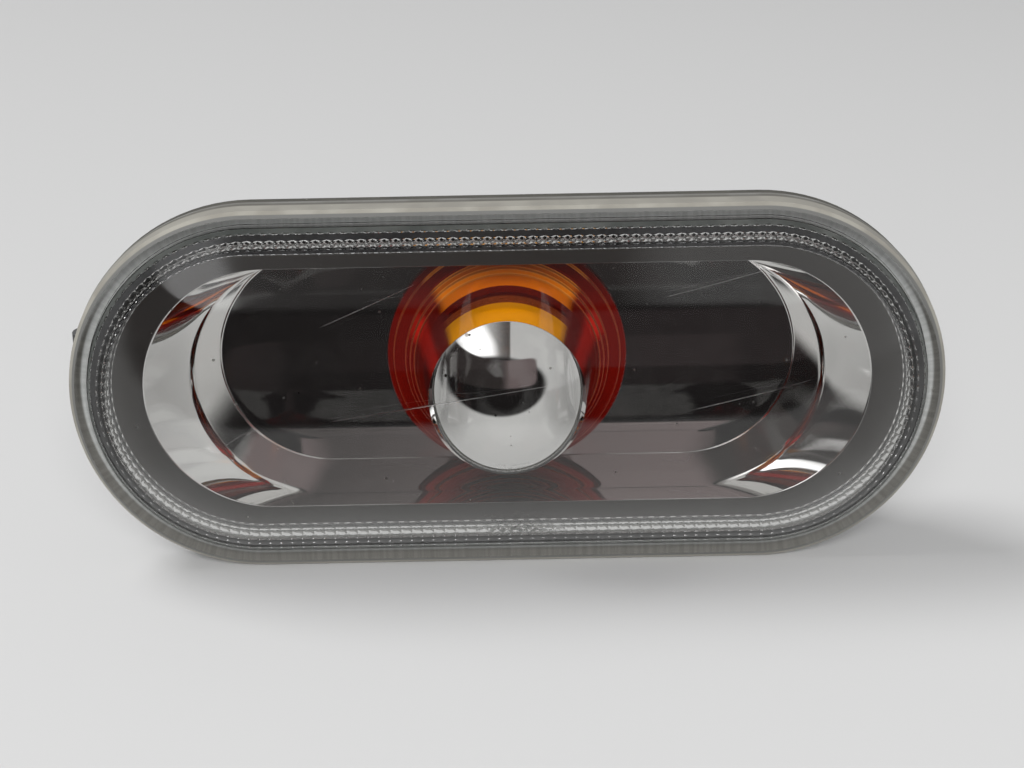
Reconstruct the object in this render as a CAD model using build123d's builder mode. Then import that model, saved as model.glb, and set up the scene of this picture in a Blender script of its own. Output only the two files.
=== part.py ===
"""Side repeater lamp of a car: clear bubble lens, bright reflector, amber bulb cup and twist-lock bulb holder.

The lamp is drawn as it sits on the car's side. X runs along its length, Z is up and the lens faces -Y.
The origin is the middle of the seat on the body panel. A height is a distance outwards from that panel,
so what lies behind the panel has a negative height.
"""
import os

from build123d import *

# Lens, a long rounded bubble: the half span is half the distance between the centres of its round ends
half_span = 29.7
lens_radius = 22.3
lens_wall = 2.4
lens_side_height = 3.5
lens_side_draft = 0.2
lens_corner = 0.8
lens_flange_thickness = 1.4
bubble_foot_inset = 2.8
bubble_foot_rise = 0.4
bubble_rise = 9.2
bubble_wall = 2.0
flute_band_width = 2.9

# Rim gasket and the housing's flange
gasket_thickness = 1.4
flange_thickness = 1.2
flange_inset = 0.1
gasket_clearance = 0.3

# Sealant bead and the housing's upstand beside it
bead_width = 1.1
bead_height = 1.7
bead_clearance = 0.05
upstand_wall = 1.5
upstand_gap = 0.5

# Reflector
reflector_wall = 1.3
reflector_clearance = 0.25
reflector_ledge = 0.85
rim_clearance = 0.3
rim_gap = 0.4
land_width = 6.4
land_depth = 3.9
land_backing = 1.5
pocket_depth = 12.8
pocket_draft = 0.6
pocket_end_draft = 1.5
bulb_hole_clearance = 1.4

# Housing pan behind the reflector
pan_wall = 1.5
pan_end_clearance = 0.2
pan_step_gap = 0.7
pan_back_gap = 1.0
pan_back_round = 2.0

# Amber cup: its stepped foot is wider than the pocket is high, so it is cut flat above and below
filter_clearance = 0.2
filter_overhang = 0.85
filter_steps = (0.8, 1.5, 0.6, 0.55)
filter_step_height = 1.1
filter_taper = 2.25
filter_wall = 1.4
filter_front_chamfer = 0.3
filter_lip_thickness = 1.3

# Bright dome on the amber cup
shield_overhang = 0.15
shield_height = 4.6
shield_wall = 1.0
shield_clearance = 0.6
spigot_inset = 2.0
spigot_wall = 0.9
spigot_height = 1.1
spigot_clearance = 0.15

# Wedge-base bulb
bulb_radius = 5.1
bulb_neck_radius = 4.0
bulb_glass_wall = 0.6
bulb_envelope_length = 18.3
bulb_neck_length = 3.0
bulb_base_width = 9.4
bulb_base_thickness = 2.1
bulb_base_length = 7.0
bulb_base_rise = 2.0
wire_radius = 0.25
wire_spacing = 3.8
wire_length = 7.5
filament_radius = 0.3
filament_clearance = 0.05

# Bulb holder and the housing's collar, joined by three lugs
barrel_radius = 9.45
barrel_clearance = 0.3
barrel_setback = 1.2
lug_count = 3
lug_width = 7.0
lug_reach = 1.45
lug_thickness = 1.6
lug_clearance = 0.2
lug_first_angle = 90.0
twist_angle = 50.0
notch_clearance = 0.6
stop_width = 4.0
stop_height = 0.9
collar_wall = 1.8
collar_length = 8.3
collar_ring = 1.6
gusset_count = 4
gusset_thickness = 1.4
gusset_reach = 3.2
gusset_height = 4.5
seal_height = 1.8
seal_gap = 0.3
seal_fit = 0.1
seal_inset = 0.8
holder_flange_thickness = 2.0
grip_width = 4.0
grip_reach = 3.0
grip_length = 6.0

# Connector shroud on the holder
shroud_width = 17.8
shroud_height = 12.8
shroud_wall = 1.4
shroud_length = 15.3
shroud_depth = 11.3
shroud_round = 1.6
catch_width = 4.0
catch_height = 1.3
catch_length = 3.2
catch_setback = 2.5

# Bent metal terminals
terminal_width = 2.8
terminal_thickness = 0.8
terminal_spacing = 6.4
terminal_bend = 0.9
terminal_contact_length = 4.0
terminal_contact_gap = 0.25
terminal_ramp = 2.0
blade_length = 7.3
terminal_fit = 0.12
base_slot_fit = 0.25

# Panel fastening: a fixed hook at one end and a spring tongue at the other
panel_grip = 2.4
hook_width = 14.0
hook_overhang = 2.6
hook_nose = 1.6
hook_height = 6.1
tongue_width = 8.8
tongue_thickness = 1.4
tongue_reach = 1.5
tongue_flat = 2.4
tongue_flat_drop = 3.2
tongue_root_reach = 2.4
tongue_root_inset = 2.0
tongue_round = 1.5
tongue_tip_overhang = 1.2

# Heights of the stack, outwards from the panel
flange_top = gasket_thickness + flange_thickness
rim_height = flange_top + lens_side_height
flange_back = rim_height - lens_flange_thickness
foot_height = rim_height + bubble_foot_rise
crown_height = foot_height + bubble_rise
crown_inside = crown_height - bubble_wall
reflector_top = flange_back - rim_gap
upstand_top = flange_back - upstand_gap
land_bottom = reflector_top - land_depth
pocket_floor = reflector_top - pocket_depth
reflector_back = pocket_floor - reflector_wall
pan_step_floor = land_bottom - pan_step_gap
pan_step_back = pan_step_floor - pan_wall
pan_inside = reflector_back - pan_back_gap
pan_back = pan_inside - pan_wall
shield_top = crown_inside - shield_clearance
shelf_height = shield_top - shield_height
collar_end = pan_back - collar_length
ring_front = collar_end + collar_ring
lug_back = ring_front + lug_clearance
seal_front = collar_end - seal_gap
holder_flange_front = seal_front - seal_height
holder_flange_back = holder_flange_front - holder_flange_thickness
shroud_end = holder_flange_back - shroud_length
shroud_floor = shroud_end + shroud_depth
barrel_front = reflector_back - barrel_setback
bulb_base_top = barrel_front + bulb_base_rise
bulb_base_end = bulb_base_top - bulb_base_length
bulb_tip = bulb_base_top + bulb_envelope_length
bulb_neck_top = bulb_base_top + bulb_neck_length
bulb_shoulder = bulb_tip - bulb_radius

# Radii of the stack, from the lens inwards
lens_inside_radius = lens_radius - lens_wall
bubble_foot_radius = lens_radius - bubble_foot_inset
flute_inner_radius = lens_inside_radius - flute_band_width
flange_radius = lens_radius - flange_inset
bead_radius = lens_inside_radius - bead_clearance
upstand_radius = bead_radius - bead_width
upstand_inside = upstand_radius - upstand_wall
reflector_radius = upstand_inside - rim_clearance
pan_inside_radius = reflector_radius - reflector_ledge
reflector_shell_radius = pan_inside_radius - reflector_clearance
pocket_radius = reflector_shell_radius - reflector_wall
pocket_floor_radius = pocket_radius - pocket_draft
pan_radius = pan_inside_radius + pan_wall
gasket_inside_radius = pan_radius + gasket_clearance
land_span = half_span - land_width
floor_span = land_span - pocket_end_draft
pan_rear_span = land_span + land_backing + pan_end_clearance
bulb_hole_radius = bulb_radius + bulb_hole_clearance
filter_half_height = pocket_floor_radius - filter_clearance
filter_base_radius = pocket_floor_radius + filter_overhang
filter_radius = filter_base_radius - sum(filter_steps)
filter_inside_radius = filter_radius - filter_wall
filter_front_radius = filter_radius - filter_taper
filter_front_inside = filter_front_radius - filter_wall
shield_radius = filter_front_radius + shield_overhang
spigot_radius = shield_radius - spigot_inset
collar_bore_radius = barrel_radius + lug_reach + barrel_clearance
collar_radius = collar_bore_radius + collar_wall
ring_bore_radius = barrel_radius + barrel_clearance
seal_radius = collar_radius - seal_inset
holder_flange_radius = collar_radius + grip_reach / 2

# Local x of this plane is the radius, towards +Z, and its local y is the height
section_plane = Plane(origin=(0, 0, 0), x_dir=(0, 0, 1), z_dir=(1, 0, 0))
right_plane = section_plane.offset(half_span)
left_plane = section_plane.offset(-half_span)
# Local x of this plane is X, and its local y is the height
side_plane = Plane(origin=(0, 0, 0), x_dir=(1, 0, 0), z_dir=(0, 0, -1))


def at_height(height):
    """The plane across the lamp at this height, facing outwards."""
    return Plane.XZ.offset(height)


def slot_ring(outer_radius, inner_radius, height):
    """A long ring with round ends, cut from the plane at this height."""
    with BuildSketch(at_height(height)) as ring:
        SlotCenterToCenter(2 * half_span, 2 * outer_radius)
        SlotCenterToCenter(2 * half_span, 2 * inner_radius, mode=Mode.SUBTRACT)
    return ring.sketch


def slot(span, radius, height):
    """A full slot with round ends on the plane at this height."""
    with BuildSketch(at_height(height)) as outline:
        SlotCenterToCenter(2 * span, 2 * radius)
    return outline.sketch


def lens_section(plane):
    """Half of the lens's section: side wall, flange and bubble."""
    with BuildSketch(plane) as section:
        with BuildLine():
            bubble = TangentArc((0, crown_height), (bubble_foot_radius, foot_height), tangent=(1, 0))
            bubble_centre = crown_height - bubble.radius
            bubble_inside = bubble.radius - bubble_wall
            inside_foot = bubble_centre + (bubble_inside**2 - flute_inner_radius**2) ** 0.5
            Polyline(
                (bubble_foot_radius, foot_height),
                (lens_radius - lens_side_draft - lens_corner, rim_height),
                (lens_radius - lens_side_draft, rim_height - lens_corner),
                (lens_radius, flange_top),
                (lens_inside_radius, flange_top),
                (lens_inside_radius, flange_back),
                (flute_inner_radius, flange_back),
                (flute_inner_radius, inside_foot),
            )
            TangentArc((0, crown_inside), (flute_inner_radius, inside_foot), tangent=(1, 0))
            Line((0, crown_inside), (0, crown_height))
        make_face()
    return section.sketch


def gusset_section():
    """Side view of a gusset between the collar and the pan's back."""
    with BuildSketch(side_plane) as gusset_face:
        with BuildLine():
            Polyline(
                (collar_radius - collar_wall / 2, pan_back),
                (collar_radius + gusset_reach, pan_back),
                (collar_radius, pan_back - gusset_height),
                (collar_radius - collar_wall / 2, pan_back - gusset_height),
                close=True,
            )
        make_face()
    return gusset_face.sketch


# Clear lens: its whole section along the straight run, and half a turn of half of it at each end
with BuildPart() as outer_lens:
    with BuildSketch(left_plane):
        add(lens_section(Plane.XY))
        mirror(about=Plane.YZ)
    extrude(amount=2 * half_span)
    right_axis = Axis(right_plane.origin, (0, 1, 0))
    revolve(lens_section(right_plane), axis=right_axis, revolution_arc=180)
    left_axis = Axis(left_plane.origin, (0, -1, 0))
    revolve(lens_section(left_plane), axis=left_axis, revolution_arc=180)

# Seal between the housing's flange and the body panel
with BuildPart() as rim_gasket:
    extrude(slot_ring(flange_radius, gasket_inside_radius, 0), amount=gasket_thickness)

# Grey bead between the lens's side wall and the housing's upstand
with BuildPart() as lens_sealant:
    extrude(slot_ring(bead_radius, upstand_radius, flange_top), amount=bead_height)

# Black housing: flange, upstand, stepped pan, collar for the bulb holder, hook and spring tongue
with BuildPart() as housing:
    extrude(slot(half_span, flange_radius, gasket_thickness), amount=flange_thickness)
    extrude(slot(half_span, upstand_radius, flange_top), amount=upstand_top - flange_top)
    extrude(slot(half_span, pan_radius, pan_step_back), amount=gasket_thickness - pan_step_back)
    extrude(slot(pan_rear_span, pan_radius, pan_back), amount=pan_step_back - pan_back)
    fillet(housing.faces().sort_by(Axis.Y)[-1].edges(), radius=pan_back_round)

    # Collar with gussets on the pan's back
    with BuildSketch(at_height(collar_end)):
        Circle(collar_radius)
    extrude(amount=pan_inside - collar_end)
    gusset = extrude(gusset_section(), amount=gusset_thickness / 2, both=True, mode=Mode.PRIVATE)
    for place in range(gusset_count):
        add(gusset.rotate(Axis.Y, (place + 0.5) * 360 / gusset_count))

    # Hollows for the reflector's rim and for its pocket
    extrude(
        slot(half_span, upstand_inside, flange_top),
        amount=upstand_top - flange_top,
        mode=Mode.SUBTRACT,
    )
    extrude(
        slot(half_span, pan_inside_radius, pan_step_floor),
        amount=flange_top - pan_step_floor,
        mode=Mode.SUBTRACT,
    )
    extrude(
        slot(pan_rear_span, pan_inside_radius, pan_inside),
        amount=pan_step_floor - pan_inside,
        mode=Mode.SUBTRACT,
    )

    # Bore of the collar, with a ring at its end that has a notch for each lug
    with BuildSketch(at_height(ring_front)):
        Circle(collar_bore_radius)
    extrude(amount=pan_inside - ring_front, mode=Mode.SUBTRACT)
    with BuildSketch(at_height(collar_end)):
        Circle(ring_bore_radius)
        with PolarLocations(0, lug_count, start_angle=lug_first_angle - twist_angle):
            Rectangle(
                collar_bore_radius,
                lug_width + 2 * notch_clearance,
                align=(Align.MIN, Align.CENTER),
            )
        Circle(collar_bore_radius, mode=Mode.INTERSECT)
    extrude(amount=collar_ring, mode=Mode.SUBTRACT)

    # Stops in the bore, half way between a notch and the next locked lug
    stop_angle = lug_first_angle - (twist_angle + 360 / lug_count) / 2
    with BuildSketch(at_height(ring_front)):
        with PolarLocations(0, lug_count, start_angle=stop_angle):
            Rectangle(collar_bore_radius + collar_wall / 2, stop_width, align=(Align.MIN, Align.CENTER))
        Circle(collar_bore_radius - stop_height, mode=Mode.SUBTRACT)
    extrude(amount=lug_clearance + lug_thickness)

    # Fixed hook at the right-hand end
    pan_end = pan_rear_span + pan_radius
    hook_end = half_span + pan_radius + hook_overhang
    with BuildSketch(side_plane):
        with BuildLine():
            Polyline(
                (pan_end - pan_wall / 2, -panel_grip),
                (hook_end, -panel_grip),
                (hook_end, -panel_grip - hook_nose),
                (pan_end, -panel_grip - hook_height),
                (pan_end - pan_wall / 2, -panel_grip - hook_height),
                close=True,
            )
        make_face()
    extrude(amount=hook_width / 2, both=True)

    # Spring tongue at the left-hand end: out from the pan's end, forwards, and in again at its tip
    tongue_end = half_span + lens_radius + tongue_reach - tongue_thickness / 2
    tongue_root = pan_back + tongue_root_inset + tongue_thickness / 2
    tongue_flat_front = -panel_grip - tongue_flat_drop
    with BuildSketch(side_plane):
        with BuildLine():
            FilletPolyline(
                (-pan_end + pan_wall / 2, tongue_root),
                (-pan_end - tongue_root_reach, tongue_root),
                (-tongue_end, tongue_flat_front - tongue_flat),
                (-tongue_end, tongue_flat_front),
                (-half_span - pan_radius - tongue_tip_overhang, -panel_grip - tongue_thickness / 2),
                radius=tongue_round,
            )
        trace(line_width=tongue_thickness)
    extrude(amount=tongue_width / 2, both=True)

# Metallised reflector: flat rim, end lands that slope into a deep pocket, hole for the bulb
with BuildPart() as reflector:
    extrude(slot(half_span, reflector_radius, flange_top), amount=reflector_top - flange_top)
    loft(
        [
            slot(half_span, reflector_shell_radius, reflector_top).face(),
            slot(land_span + land_backing, reflector_shell_radius, land_bottom).face(),
        ],
        ruled=True,
    )
    loft(
        [
            slot(land_span + land_backing, reflector_shell_radius, land_bottom).face(),
            slot(floor_span + land_backing, pocket_floor_radius + reflector_wall, reflector_back).face(),
        ],
        ruled=True,
    )
    loft(
        [
            slot(half_span, pocket_radius, reflector_top).face(),
            slot(land_span, pocket_radius, land_bottom).face(),
        ],
        ruled=True,
        mode=Mode.SUBTRACT,
    )
    loft(
        [
            slot(land_span, pocket_radius, land_bottom).face(),
            slot(floor_span, pocket_floor_radius, pocket_floor).face(),
        ],
        ruled=True,
        mode=Mode.SUBTRACT,
    )
    with BuildSketch(at_height(reflector_back)):
        Circle(bulb_hole_radius)
    extrude(amount=reflector_wall, mode=Mode.SUBTRACT)

# Amber cup on the pocket floor: stepped foot, tapered barrel and a lip that carries the dome
with BuildPart() as amber_filter:
    with BuildSketch(section_plane):
        with BuildLine():
            steps = [(filter_base_radius, pocket_floor)]
            for step in filter_steps:
                radius, height = steps[-1]
                steps.append((radius, height + filter_step_height))
                steps.append((radius - step, height + filter_step_height))
            Polyline(
                *steps,
                (filter_front_radius, shelf_height - filter_front_chamfer),
                (filter_front_radius - filter_front_chamfer, shelf_height),
                (spigot_radius + spigot_clearance, shelf_height),
                (spigot_radius + spigot_clearance, shelf_height - filter_lip_thickness),
                (filter_front_inside, shelf_height - filter_lip_thickness),
                (filter_inside_radius, pocket_floor),
                close=True,
            )
        make_face()
    revolve(axis=Axis.Y)
    with BuildSketch(at_height(pocket_floor)):
        Rectangle(2 * filter_base_radius, 2 * filter_half_height)
    extrude(amount=shelf_height - pocket_floor, mode=Mode.INTERSECT)

# Bright dome with a spigot inside the cup's lip
with BuildPart() as bulb_shield:
    with BuildSketch(section_plane):
        with BuildLine():
            dome = TangentArc((0, shield_top), (shield_radius, shelf_height), tangent=(1, 0))
            dome_centre = shield_top - dome.radius
            dome_inside = dome.radius - shield_wall
            spigot_inside = spigot_radius - spigot_wall
            inside_foot = dome_centre + (dome_inside**2 - spigot_inside**2) ** 0.5
            Polyline(
                (shield_radius, shelf_height),
                (spigot_radius, shelf_height),
                (spigot_radius, shelf_height - spigot_height),
                (spigot_inside, shelf_height - spigot_height),
                (spigot_inside, inside_foot),
            )
            TangentArc((0, shield_top - shield_wall), (spigot_inside, inside_foot), tangent=(1, 0))
            Line((0, shield_top - shield_wall), (0, shield_top))
        make_face()
    revolve(axis=Axis.Y)

# Bulb envelope, blown in one piece with its flat base
with BuildPart() as bulb_glass:
    with BuildSketch(section_plane):
        with BuildLine():
            TangentArc((0, bulb_tip), (bulb_radius, bulb_shoulder), tangent=(1, 0))
            Polyline(
                (bulb_radius, bulb_shoulder),
                (bulb_radius, bulb_neck_top),
                (bulb_neck_radius, bulb_base_top),
                (0, bulb_base_top),
                (0, bulb_tip),
            )
        make_face()
        with BuildLine():
            inner_radius = bulb_radius - bulb_glass_wall
            TangentArc((0, bulb_tip - bulb_glass_wall), (inner_radius, bulb_shoulder), tangent=(1, 0))
            Polyline(
                (inner_radius, bulb_shoulder),
                (inner_radius, bulb_neck_top),
                (bulb_neck_radius - bulb_glass_wall, bulb_base_top + bulb_glass_wall),
                (0, bulb_base_top + bulb_glass_wall),
                (0, bulb_tip - bulb_glass_wall),
            )
        make_face(mode=Mode.SUBTRACT)
    revolve(axis=Axis.Y)
    with BuildSketch(at_height(bulb_base_end)):
        Rectangle(bulb_base_width, bulb_base_thickness)
    extrude(amount=bulb_base_length)

# Two wires that stand on the base inside the envelope
with BuildPart() as bulb_lead_wires:
    with BuildSketch(at_height(bulb_base_top + bulb_glass_wall)):
        with GridLocations(wire_spacing, 0, 2, 1):
            Circle(wire_radius)
    extrude(amount=wire_length)

# Filament between the tops of the wires
with BuildPart() as bulb_filament:
    filament_length = wire_spacing - 2 * (wire_radius + filament_clearance)
    filament_height = bulb_base_top + bulb_glass_wall + wire_length - wire_radius
    with BuildSketch(Plane.YZ.offset(-filament_length / 2)):
        with Locations((-filament_height, 0)):
            Circle(filament_radius)
    extrude(amount=filament_length)

# Path of a terminal beside the upper face of the bulb's base, then back along the axis to its blade
contact_height = bulb_base_thickness / 2 + terminal_contact_gap + terminal_thickness / 2
contact_end = bulb_base_end + terminal_contact_length
ramp_front = bulb_base_end - terminal_bend
blade_end = shroud_floor - blade_length


def terminal_section(width, back_end):
    """Section of a terminal, or of its slot, across the strip."""
    with BuildSketch(section_plane) as strip:
        with BuildLine():
            FilletPolyline(
                (contact_height, contact_end),
                (contact_height, ramp_front),
                (0, ramp_front - terminal_ramp),
                (0, back_end),
                radius=terminal_bend,
            )
        trace(line_width=width)
    return strip.sketch


# The upper contact is on the left, and the lower one is the same strip turned half round
with BuildPart() as terminal_upper:
    upper_strip = extrude(
        terminal_section(terminal_thickness, blade_end),
        amount=terminal_width / 2,
        both=True,
        mode=Mode.PRIVATE,
    )
    add(upper_strip.moved(Location((-terminal_spacing / 2, 0, 0))))

with BuildPart() as terminal_lower:
    add(terminal_upper.part.rotate(Axis.Y, 180))

# Bulb holder: barrel with lugs, flange with finger grips, connector shroud
with BuildPart() as bulb_holder:
    with BuildSketch(at_height(holder_flange_front)):
        Circle(barrel_radius)
    extrude(amount=barrel_front - holder_flange_front)
    with BuildSketch(at_height(lug_back)):
        with PolarLocations(0, lug_count, start_angle=lug_first_angle):
            Rectangle(barrel_radius + lug_reach, lug_width, align=(Align.MIN, Align.CENTER))
        Circle(barrel_radius + lug_reach, mode=Mode.INTERSECT)
    extrude(amount=lug_thickness)
    with BuildSketch(at_height(holder_flange_back)):
        Circle(holder_flange_radius)
    extrude(amount=holder_flange_thickness)
    with BuildSketch(at_height(holder_flange_back - grip_length)):
        Rectangle(grip_width, 2 * holder_flange_radius)
    extrude(amount=grip_length)
    with BuildSketch(at_height(shroud_end)):
        RectangleRounded(shroud_width, shroud_height, shroud_round)
    extrude(amount=shroud_length)

    # Catch for the plug on the shroud's upper face
    with BuildSketch(section_plane):
        with BuildLine():
            Polyline(
                (shroud_height / 2 - shroud_wall / 2, shroud_end + catch_setback),
                (shroud_height / 2, shroud_end + catch_setback),
                (shroud_height / 2 + catch_height, shroud_end + catch_setback + catch_length),
                (shroud_height / 2 - shroud_wall / 2, shroud_end + catch_setback + catch_length),
                close=True,
            )
        make_face()
    extrude(amount=catch_width / 2, both=True)

    # Socket for the plug, slot for the bulb's base and a slot for each terminal
    with BuildSketch(at_height(shroud_end)):
        Rectangle(shroud_width - 2 * shroud_wall, shroud_height - 2 * shroud_wall)
    extrude(amount=shroud_depth, mode=Mode.SUBTRACT)
    with BuildSketch(at_height(bulb_base_end - base_slot_fit)):
        Rectangle(bulb_base_width + 2 * base_slot_fit, bulb_base_thickness + 2 * base_slot_fit)
    extrude(amount=barrel_front - bulb_base_end + base_slot_fit, mode=Mode.SUBTRACT)
    terminal_slot = extrude(
        terminal_section(terminal_thickness + 2 * terminal_fit, shroud_floor - terminal_thickness),
        amount=terminal_width / 2 + terminal_fit,
        both=True,
        mode=Mode.PRIVATE,
    ).moved(Location((-terminal_spacing / 2, 0, 0)))
    add(terminal_slot, mode=Mode.SUBTRACT)
    add(terminal_slot.rotate(Axis.Y, 180), mode=Mode.SUBTRACT)

# Rubber ring on the barrel, in front of the holder's flange
with BuildPart() as holder_seal:
    with BuildSketch(at_height(holder_flange_front)):
        Circle(seal_radius)
        Circle(barrel_radius + seal_fit, mode=Mode.SUBTRACT)
    extrude(amount=seal_height)

os.makedirs("parts", exist_ok=True)
pieces = {
    "outer_lens": outer_lens,
    "lens_sealant": lens_sealant,
    "rim_gasket": rim_gasket,
    "housing": housing,
    "reflector": reflector,
    "amber_filter": amber_filter,
    "bulb_shield": bulb_shield,
    "bulb_glass": bulb_glass,
    "bulb_lead_wires": bulb_lead_wires,
    "bulb_filament": bulb_filament,
    "terminal_upper": terminal_upper,
    "terminal_lower": terminal_lower,
    "bulb_holder": bulb_holder,
    "holder_seal": holder_seal,
}
for name, piece in pieces.items():
    piece.part.label = name
    export_step(piece.part, f"parts/{name}.step")
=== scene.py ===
# %% [markdown]
# # Side repeater lamp
# The indicator lamp on the flank of a car: a clear bubble lens, a bright trough behind it, and an amber cup
# with a bright dome over the bulb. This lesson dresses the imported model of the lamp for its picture.
# The model is a fixed frame in metres: X along the lamp, Z up, and the lens faces -Y. A height is a distance
# outwards from the seat on the body panel, so a point at height h has y = -h.

# %% Load the frame
import math

import bmesh
import bpy
import numpy as np
from mathutils import Matrix, Vector


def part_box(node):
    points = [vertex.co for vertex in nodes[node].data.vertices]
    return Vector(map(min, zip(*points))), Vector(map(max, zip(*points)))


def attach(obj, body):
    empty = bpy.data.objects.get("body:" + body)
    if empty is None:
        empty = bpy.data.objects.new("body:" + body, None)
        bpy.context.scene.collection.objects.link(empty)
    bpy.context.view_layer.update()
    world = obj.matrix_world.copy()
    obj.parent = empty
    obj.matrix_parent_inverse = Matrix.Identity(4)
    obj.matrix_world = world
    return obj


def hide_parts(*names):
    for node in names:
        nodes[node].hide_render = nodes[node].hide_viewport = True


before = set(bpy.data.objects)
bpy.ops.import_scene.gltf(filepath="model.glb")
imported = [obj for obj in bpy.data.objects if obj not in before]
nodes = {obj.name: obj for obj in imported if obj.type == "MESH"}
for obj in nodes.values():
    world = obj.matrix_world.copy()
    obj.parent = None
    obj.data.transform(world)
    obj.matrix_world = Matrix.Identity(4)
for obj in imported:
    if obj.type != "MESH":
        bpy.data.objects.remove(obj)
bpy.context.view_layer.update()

MM = 0.001
print("nodes", sorted(nodes))

# %% [markdown]
# ## Sizes that the frame gives
# Every piece below has to fit the solids, so the main sizes are read from their boxes. The lens is a slot
# with round ends: its box gives the radius of the ends and half the distance between their centres.

# %% Read the lens, the reflector, the cup and the dome
lens_low, lens_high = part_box("outer_lens")
lens_radius = lens_high.z
half_span = lens_high.x - lens_radius
crown_height = -lens_low.y
side_foot = -lens_high.y

reflector_low, reflector_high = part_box("reflector")
reflector_radius = reflector_high.z
reflector_top = -reflector_low.y
reflector_back = -reflector_high.y

cup_low, cup_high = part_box("amber_filter")
cup_radius = cup_high.x
cup_half_height = cup_high.z
pocket_floor = -cup_high.y
shelf_height = -cup_low.y

dome_low, dome_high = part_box("bulb_shield")
dome_radius = dome_high.z
dome_top = -dome_low.y
print("lens radius", lens_radius, "half span", half_span, "crown", crown_height)

# %% [markdown]
# ## Two kinds of surface
# A lamp like this has only two kinds of moulded shape. The lens, the gasket and the reflector are a profile
# carried once round a slot. The cup, the dome and the bulb are a profile turned about the lamp's axis.
# Both are grids of points, so one function can turn any of them into a mesh: it joins neighbours with quads,
# merges the points that meet on the axis, and lets Blender turn the faces outwards.

# %% Profile helpers
HOLD = 1.25


def rounded(corners, reach, steps=4):
    """A line through the corners with each inner corner cut by a quadratic curve.

    The curve starts and ends `reach` from the corner, so point(t) = (1-t)^2 a + 2t(1-t) corner + t^2 b.
    A further point just beyond each end of the curve keeps smooth shading from bending the flat beside it.
    """
    corners = np.asarray(corners, float)
    before = corners[:-2] - corners[1:-1]
    after = corners[2:] - corners[1:-1]
    reach = np.broadcast_to(np.asarray(reach, float), len(before))[:, None]
    start = before * reach / np.linalg.norm(before, axis=1, keepdims=True)
    end = after * reach / np.linalg.norm(after, axis=1, keepdims=True)
    t = np.linspace(0, 1, steps + 1)[None, :, None]
    curve = (1 - t) ** 2 * start[:, None] + t**2 * end[:, None]
    held = np.concatenate([HOLD * start[:, None], curve, HOLD * end[:, None]], axis=1) + corners[1:-1, None]
    return np.concatenate([corners[:1], held.reshape(-1, corners.shape[1]), corners[-1:]])


def arc(radius, centre_height, first, last, steps):
    """An arc about the axis: r = R sin(a), h = centre + R cos(a), for a from first to last."""
    angle = np.linspace(first, last, steps)
    return np.column_stack([radius * np.sin(angle), centre_height + radius * np.cos(angle)])


def slot_path(straight_steps, round_steps):
    """Once round a slot: the share of the half span, -1 to 1, and the outward direction in X and Z."""
    side = np.linspace(-1, 1, straight_steps, endpoint=False)
    turn = np.linspace(0, np.pi, round_steps, endpoint=False)
    still = np.zeros(straight_steps)
    share = np.concatenate([side, np.ones(round_steps), -side, -np.ones(round_steps)])
    out_x = np.concatenate([still, np.sin(turn), still, -np.sin(turn)])
    out_z = np.concatenate([still + 1, np.cos(turn), still - 1, -np.cos(turn)])
    return share[:, None], out_x[:, None], out_z[:, None]


def slot_surface(path, span, radius, height):
    """A profile carried round a slot: x = share * span + r * out_x, y = -h, z = r * out_z."""
    share, out_x, out_z = path
    return np.stack(np.broadcast_arrays(share * span + radius * out_x, -height, radius * out_z), axis=-1)


def turned_surface(profile, steps):
    """A profile (r, h) turned about the lamp's axis: x = r sin(a), y = -h, z = r cos(a)."""
    angle = np.linspace(0, 2 * np.pi, steps, endpoint=False)[:, None]
    radius, height = profile[:, 0], profile[:, 1]
    return np.stack(
        np.broadcast_arrays(radius * np.sin(angle), -height, radius * np.cos(angle)), axis=-1
    )


# %% Grid to mesh
MERGE_DISTANCE = 1e-7


def mesh_piece(name, points, body, replaced=(), sharp_angle=35.0, closed_profile=True):
    """A piece from a grid of points that closes round its first direction, and round its second if asked."""
    rounds, count = points.shape[:2]
    index = np.arange(rounds * count).reshape(rounds, count)
    if closed_profile:
        index = np.concatenate([index, index[:, :1]], axis=1)
    beside = np.roll(index, -1, axis=0)
    quads = np.stack([index[:, :-1], beside[:, :-1], beside[:, 1:], index[:, 1:]], axis=-1).reshape(-1, 4)
    mesh = bpy.data.meshes.new(name)
    mesh.from_pydata(points.reshape(-1, 3).tolist(), [], quads.tolist())
    work = bmesh.new()
    work.from_mesh(mesh)
    bmesh.ops.remove_doubles(work, verts=work.verts, dist=MERGE_DISTANCE)
    bmesh.ops.recalc_face_normals(work, faces=work.faces)
    work.to_mesh(mesh)
    work.free()
    mesh.shade_smooth()
    mesh.set_sharp_from_angle(angle=math.radians(sharp_angle))
    piece = bpy.data.objects.new(name, mesh)
    bpy.context.scene.collection.objects.link(piece)
    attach(piece, body)
    if replaced:
        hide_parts(*replaced)
    print(name, len(mesh.vertices), "points", len(mesh.polygons), "faces")
    return piece


# %% [markdown]
# ## Clear lens
# The lens is one clear moulding: a bubble, a flange round it and a side wall that reaches back to the
# housing. The back of the flange has about 180 small V flutes, and in three rows round the slot they are cut
# deeper, which the photo shows as zigzag lines. A modifier could cut them, but here the flutes are part of
# the formula: along the slot the flange's back rises and falls as a triangle wave, and the grid has four
# points for each flute so that ridges and valleys stay crisp.

# %% Lens sizes
lens_wall = 2.4 * MM
lens_gap = 0.03 * MM
side_draft = 0.2 * MM
flange_thickness = 1.4 * MM
side_height = 3.5 * MM
foot_inset = 2.8 * MM
foot_rise = 0.4 * MM
bubble_wall = 2.0 * MM
rim_corner = 0.8 * MM
film_thickness = 0.04 * MM
flute_inset = 0.6 * MM
flute_band = 3.1 * MM

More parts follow.
